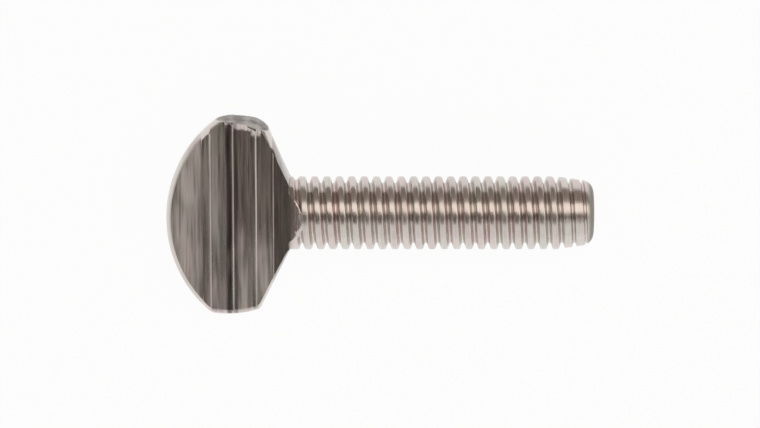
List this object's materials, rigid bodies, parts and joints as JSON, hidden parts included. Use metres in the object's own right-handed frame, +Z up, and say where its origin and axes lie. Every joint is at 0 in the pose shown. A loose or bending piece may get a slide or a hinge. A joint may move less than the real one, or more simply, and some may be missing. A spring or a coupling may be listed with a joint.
{
  "type": "thumb screw",
  "caption": "One-piece steel thumb screw with a flat ribbed finger head that narrows through a ramped neck into a right-hand metric thread with a rounded end.",
  "frame": {"origin": "on the thread's axis, where the flanks of the head meet the thread", "axes": "+X along the thread's axis towards the tip, +Z up with the screw lying at rest on its thread and on one long edge of its head"},
  "size_m": [0.0345, 0.0162, 0.0058],
  "materials": {
    "steel": "bright as forged and rolled"
  },
  "bodies": {
    "root": {"thumb_screw": "steel"}
  },
  "joints": []
}
